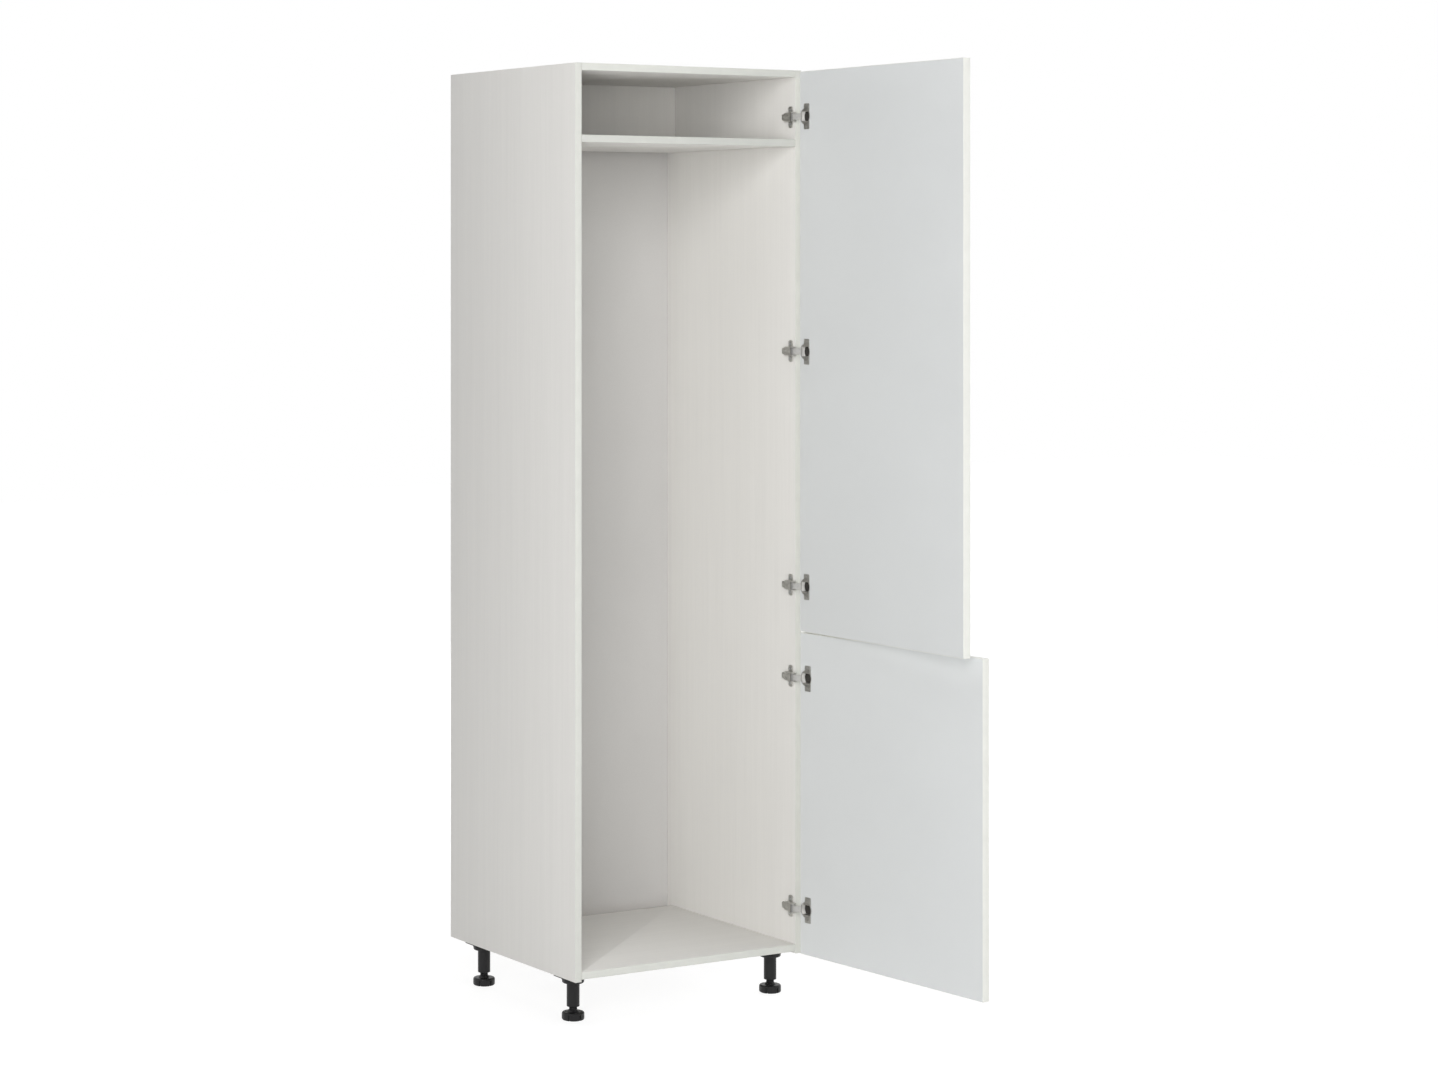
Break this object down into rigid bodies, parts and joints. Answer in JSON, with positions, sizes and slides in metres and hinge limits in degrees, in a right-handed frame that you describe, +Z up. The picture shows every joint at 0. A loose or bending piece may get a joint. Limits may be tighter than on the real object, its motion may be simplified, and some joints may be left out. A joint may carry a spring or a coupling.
{
  "type": "appliance housing cabinet",
  "caption": "Tall white cabinet for a built-in appliance: open niche, small compartment above, plain doors on concealed hinges opened to the right, black levelling legs, air duct behind.",
  "frame": {"origin": "on the floor, in the middle of the plan of the cabinet with its doors open as at rest", "axes": "+Z up; the front faces -Y; the hinges and the open doors are at +X, the viewer's right; the back is at +Y"},
  "size_m": [0.653, 1.175, 2.103],
  "materials": {
    "white_melamine": "satin white melamine with a faint grain",
    "white_hardboard": "satin white hardboard",
    "cream_edge_band": "satin cream edge band",
    "smooth_white_door": "smooth satin white",
    "nickel_plated_steel": "satin nickel plate",
    "bright_zinc_screw": "bright zinc",
    "black_leg_plastic": "satin black"
  },
  "bodies": {
    "carcass": {"left_side_panel": "white_melamine", "right_side_panel": "white_melamine", "top_panel": "white_melamine", "fixed_shelf": "white_melamine", "bottom_panel": "white_melamine", "upper_back_panel": "white_melamine", "back_panel": "white_hardboard", "left_side_edge_band": "cream_edge_band", "right_side_edge_band": "cream_edge_band", "top_edge_band": "cream_edge_band", "shelf_edge_band": "cream_edge_band", "bottom_edge_band": "cream_edge_band", "hinge_1_plate": "nickel_plated_steel", "hinge_1_arm": "nickel_plated_steel", "hinge_1_upper_screw": "bright_zinc_screw", "hinge_1_lower_screw": "bright_zinc_screw", "hinge_2_plate": "nickel_plated_steel", "hinge_2_arm": "nickel_plated_steel", "hinge_2_upper_screw": "bright_zinc_screw", "hinge_2_lower_screw": "bright_zinc_screw", "hinge_3_plate": "nickel_plated_steel", "hinge_3_arm": "nickel_plated_steel", "hinge_3_upper_screw": "bright_zinc_screw", "hinge_3_lower_screw": "bright_zinc_screw", "hinge_4_plate": "nickel_plated_steel", "hinge_4_arm": "nickel_plated_steel", "hinge_4_upper_screw": "bright_zinc_screw", "hinge_4_lower_screw": "bright_zinc_screw", "hinge_5_plate": "nickel_plated_steel", "hinge_5_arm": "nickel_plated_steel", "hinge_5_upper_screw": "bright_zinc_screw", "hinge_5_lower_screw": "bright_zinc_screw", "leg_front_left_socket": "black_leg_plastic", "leg_front_left_tube": "black_leg_plastic", "leg_front_right_socket": "black_leg_plastic", "leg_front_right_tube": "black_leg_plastic", "leg_rear_left_socket": "black_leg_plastic", "leg_rear_left_tube": "black_leg_plastic", "leg_rear_right_socket": "black_leg_plastic", "leg_rear_right_tube": "black_leg_plastic"},
    "upper_door_leaf": {"upper_door": "smooth_white_door", "upper_door_edge_bands": "cream_edge_band", "hinge_1_cup": "nickel_plated_steel", "hinge_2_cup": "nickel_plated_steel", "hinge_3_cup": "nickel_plated_steel"},
    "lower_door_leaf": {"lower_door": "smooth_white_door", "lower_door_edge_bands": "cream_edge_band", "hinge_4_cup": "nickel_plated_steel", "hinge_5_cup": "nickel_plated_steel"},
    "upper_hinge_links": {"hinge_1_link": "nickel_plated_steel", "hinge_2_link": "nickel_plated_steel", "hinge_3_link": "nickel_plated_steel"},
    "lower_hinge_links": {"hinge_4_link": "nickel_plated_steel", "hinge_5_link": "nickel_plated_steel"},
    "front_left_foot": {"leg_front_left_foot": "black_leg_plastic"},
    "front_right_foot": {"leg_front_right_foot": "black_leg_plastic"},
    "rear_left_foot": {"leg_rear_left_foot": "black_leg_plastic"},
    "rear_right_foot": {"leg_rear_right_foot": "black_leg_plastic"}
  },
  "joints": [
    {"name": "upper_door_hinge", "type": "hinge", "parent": "carcass", "child": "upper_door_leaf", "pos_m": [0.27249, 0.0095, 1.4655], "axis": [0, 0, 1], "range_deg": [-90, 15]},
    {"name": "lower_door_hinge", "type": "hinge", "parent": "carcass", "child": "lower_door_leaf", "pos_m": [0.27249, 0.0095, 0.4655], "axis": [0, 0, 1], "range_deg": [-95, 10]},
    {"name": "upper_links_pivot", "type": "hinge", "parent": "carcass", "child": "upper_hinge_links", "pos_m": [0.24099, 0.0183, 1.4655], "axis": [0, 0, 1], "range_deg": [-8, 47]},
    {"name": "lower_links_pivot", "type": "hinge", "parent": "carcass", "child": "lower_hinge_links", "pos_m": [0.24099, 0.0183, 0.4655], "axis": [0, 0, 1], "range_deg": [-6, 50]},
    {"name": "front_left_foot_thread", "type": "slide", "parent": "carcass", "child": "front_left_foot", "axis": [0, 0, -1], "range_m": [-0.004, 0.02]},
    {"name": "front_right_foot_thread", "type": "slide", "parent": "carcass", "child": "front_right_foot", "axis": [0, 0, -1], "range_m": [-0.004, 0.02]},
    {"name": "rear_left_foot_thread", "type": "slide", "parent": "carcass", "child": "rear_left_foot", "axis": [0, 0, -1], "range_m": [-0.004, 0.02]},
    {"name": "rear_right_foot_thread", "type": "slide", "parent": "carcass", "child": "rear_right_foot", "axis": [0, 0, -1], "range_m": [-0.004, 0.02]}
  ],
  "couplings": [
    {"joint": "upper_links_pivot", "follows": "upper_door_hinge", "ratio": -0.52},
    {"joint": "lower_links_pivot", "follows": "lower_door_hinge", "ratio": -0.52}
  ]
}
